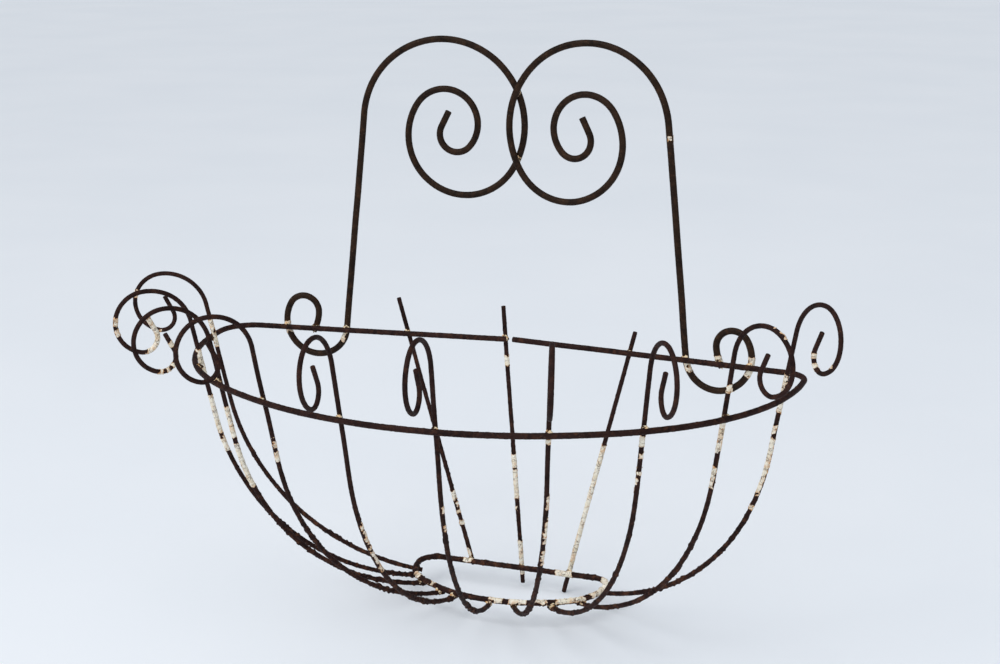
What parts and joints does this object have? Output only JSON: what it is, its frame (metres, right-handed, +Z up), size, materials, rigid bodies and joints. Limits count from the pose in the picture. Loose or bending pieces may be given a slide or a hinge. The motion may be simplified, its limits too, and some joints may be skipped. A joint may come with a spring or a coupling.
{
  "type": "wall planter basket",
  "caption": "Half-round basket of welded wire with scrolled ribs and two large back scrolls that hang it on a wall hook, to hold a lined plant.",
  "frame": {"origin": "upper crossing of the two back scrolls, on the middle plane, where a wall hook carries the basket", "axes": "+Z up; +Y towards the wall, so the bowl bulges towards -Y; +X to the right seen from the front"},
  "size_m": [0.6542, 0.3573, 0.5237],
  "materials": {
    "rusted_scroll": "rusted mild steel wire, almost bare, smooth dark brown",
    "rusted_wire": "rusted mild steel wire, lumpy and matt, with remnants of cream paint",
    "rusted_weld": "rusty weld bead",
    "paint_cream": "remnants of old cream paint, cracked and flaking, matt"
  },
  "bodies": {
    "root": {"rim_wire": "rusted_wire", "base_ring": "rusted_wire", "back_stay_left": "rusted_wire", "back_stay_centre": "rusted_wire", "back_stay_right": "rusted_wire", "rib_01": "rusted_wire", "rib_02": "rusted_wire", "rib_03": "rusted_wire", "rib_04": "rusted_wire", "rib_05": "rusted_wire", "rib_06": "rusted_wire", "rib_07": "rusted_wire", "rib_08": "rusted_wire", "rib_09": "rusted_wire", "rib_10": "rusted_wire", "back_scroll_left": "rusted_scroll", "back_scroll_right": "rusted_scroll", "welds_rim_ribs": "rusted_weld", "welds_base_ribs": "rusted_weld", "welds_rim_stays": "rusted_weld", "welds_base_stays": "rusted_weld", "welds_scroll_left": "rusted_weld", "welds_scroll_right": "rusted_weld", "welds_scroll_crossings": "rusted_weld"}
  },
  "joints": []
}
